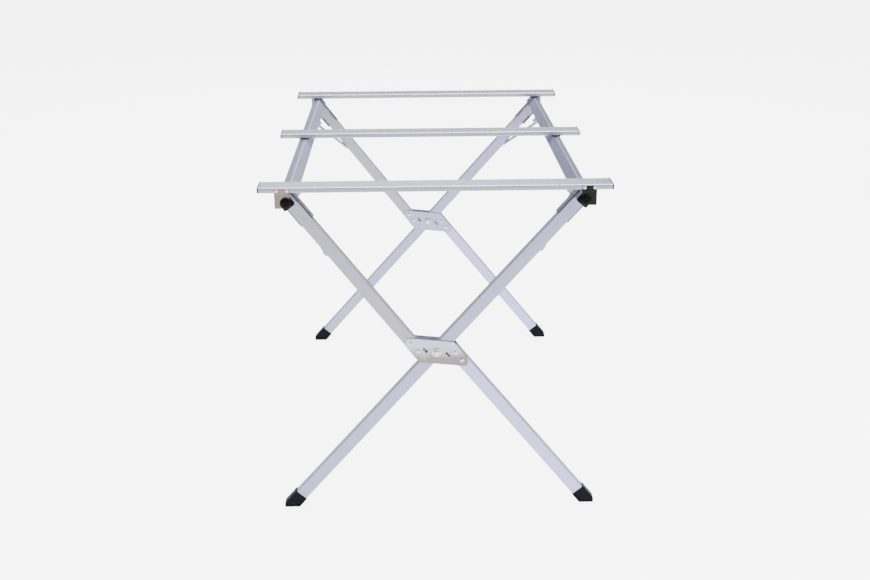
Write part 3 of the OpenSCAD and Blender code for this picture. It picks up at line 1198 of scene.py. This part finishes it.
@dataclass
class Studio:
    """The pale floor, soft lights and camera.

    Attributes:
        eye: The camera's place in metres.
        pitch: How far it looks down, in degrees.
        yaw: How far it looks to the right, in degrees.
        roll: How far it is rolled, in degrees.
        lens: Its focal length in millimetres on a 36 mm sensor.
        white: How bright the floor and the backdrop look.
        walls: How much light the studio's walls give.
    """

    eye: Triple = (-0.0545, -2.8726, 1.2851)
    pitch: float = 18.82
    yaw: float = 1.2547
    roll: float = -0.363
    lens: float = 52.66
    white: float = 5.8
    walls: float = 0.55

    def build(self) -> None:
        """Builds the floor, the lights and the camera."""
        self.build_floor()
        self.build_world()
        self.build_light("key", (3.1, -2.6, 3.1), 2.0, 150.0, (1.0, 0.985, 0.97))
        self.build_light("fill", (-3.0, -1.8, 2.4), 2.0, 42.0, (0.98, 0.98, 1.0))
        self.build_light("top", (0.2, 0.1, 3.4), 2.0, 120.0, (0.97, 0.98, 1.0))
        self.build_light("back", (0.0, 4.0, 3.4), 2.2, 105.0, (0.98, 0.98, 1.0))
        self.build_camera()

    def build_floor(self) -> None:
        """Builds the wide white floor."""
        bm = bmesh.new()
        bmesh.ops.create_grid(bm, x_segments=1, y_segments=1, size=30.0)
        mesh = bpy.data.meshes.new("floor")
        bm.to_mesh(mesh)
        bm.free()
        floor = bpy.data.objects.new("floor", mesh)
        bpy.context.collection.objects.link(floor)
        floor.location.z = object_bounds()[0].z - 0.0005
        weave = Weave("white_floor")
        weave.tones(weave.noise(weave.coords, 3.0), (0.78, 0.78, 0.78), (0.80, 0.80, 0.80))
        weave.shader.inputs["Roughness"].default_value = 0.9
        weave.shader.inputs["Specular IOR Level"].default_value = 0.1
        glow = weave.tree.nodes.new("ShaderNodeEmission")
        glow.inputs["Strength"].default_value = self.white
        output = weave.tree.nodes["Material Output"]
        seen = weave.tree.nodes.new("ShaderNodeLightPath").outputs["Is Camera Ray"]
        both = weave.tree.nodes.new("ShaderNodeMixShader")
        weave.tree.links.new(seen, both.inputs["Fac"])
        weave.tree.links.new(weave.shader.outputs["BSDF"], both.inputs[1])
        weave.tree.links.new(glow.outputs["Emission"], both.inputs[2])
        lit = weave.tree.nodes.new("ShaderNodeAddShader")
        weave.tree.links.new(both.outputs["Shader"], lit.inputs[0])
        weave.tree.links.new(weave.shader.outputs["BSDF"], lit.inputs[1])
        weave.tree.links.new(lit.outputs["Shader"], output.inputs["Surface"])
        mesh.materials.append(weave.material)
        floor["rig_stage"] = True

    def build_world(self) -> None:
        """Sets the even light of the studio's walls."""
        world = bpy.data.worlds.new("studio")
        world.use_nodes = True
        bpy.context.scene.world = world
        tree = world.node_tree
        walls = tree.nodes["Background"]
        walls.inputs["Color"].default_value = (0.94, 0.95, 1.0, 1.0)
        walls.inputs["Strength"].default_value = self.walls
        bright = tree.nodes.new("ShaderNodeBackground")
        bright.inputs["Strength"].default_value = self.white
        both = tree.nodes.new("ShaderNodeMixShader")
        seen = tree.nodes.new("ShaderNodeLightPath").outputs["Is Camera Ray"]
        tree.links.new(seen, both.inputs["Fac"])
        tree.links.new(walls.outputs["Background"], both.inputs[1])
        tree.links.new(bright.outputs["Background"], both.inputs[2])
        tree.links.new(both.outputs["Shader"], tree.nodes["World Output"].inputs["Surface"])

    def build_light(
        self, name: str, place: Triple, size: float, power: float, colour: Triple
    ) -> None:
        """Adds a square soft light that points at the table's middle."""
        data = bpy.data.lights.new(name, "AREA")
        data.shape = "SQUARE"
        data.size = size
        data.energy = power
        data.color = colour
        lamp = bpy.data.objects.new(name, data)
        bpy.context.collection.objects.link(lamp)
        lamp.visible_camera = False
        lamp.location = place
        aim = Vector((0, 0, 0.4)) - Vector(place)
        lamp.rotation_euler = aim.to_track_quat("-Z", "Y").to_euler()

    def build_camera(self) -> None:
        """Adds the camera and makes it the scene's own."""
        pitch, yaw, roll = (math.radians(a) for a in (self.pitch, self.yaw, self.roll))
        ahead = Vector((
            math.sin(yaw) * math.cos(pitch), math.cos(yaw) * math.cos(pitch), -math.sin(pitch)
        ))
        level = Vector((math.cos(yaw), -math.sin(yaw), 0.0))
        above = level.cross(ahead)
        right = level * math.cos(roll) + above * math.sin(roll)
        up = above * math.cos(roll) - level * math.sin(roll)
        data = bpy.data.cameras.new("camera")
        data.sensor_width = 36.0
        data.lens = self.lens
        data.clip_start = 0.05
        data.clip_end = 100.0
        data.dof.use_dof = False
        camera = bpy.data.objects.new("camera", data)
        bpy.context.collection.objects.link(camera)
        turn = Matrix((right, up, -ahead)).transposed().to_4x4()
        camera.matrix_world = Matrix.Translation(self.eye) @ turn
        bpy.context.scene.camera = camera


def main() -> None:
    """Builds the table's pieces, dresses them and sets up the studio."""
    logging.basicConfig(level=logging.INFO, format="%(message)s")
    looks = Finishes()
    for hand in Hand:
        SideTube(hand, looks).build()
    for end in End:
        LegPair(end, looks).build()
    for place in ("front", "middle", "rear"):
        CrossRail(place, looks).build()
    SmallParts(looks).build()
    Studio().build()


if __name__ == "__main__":
    main()
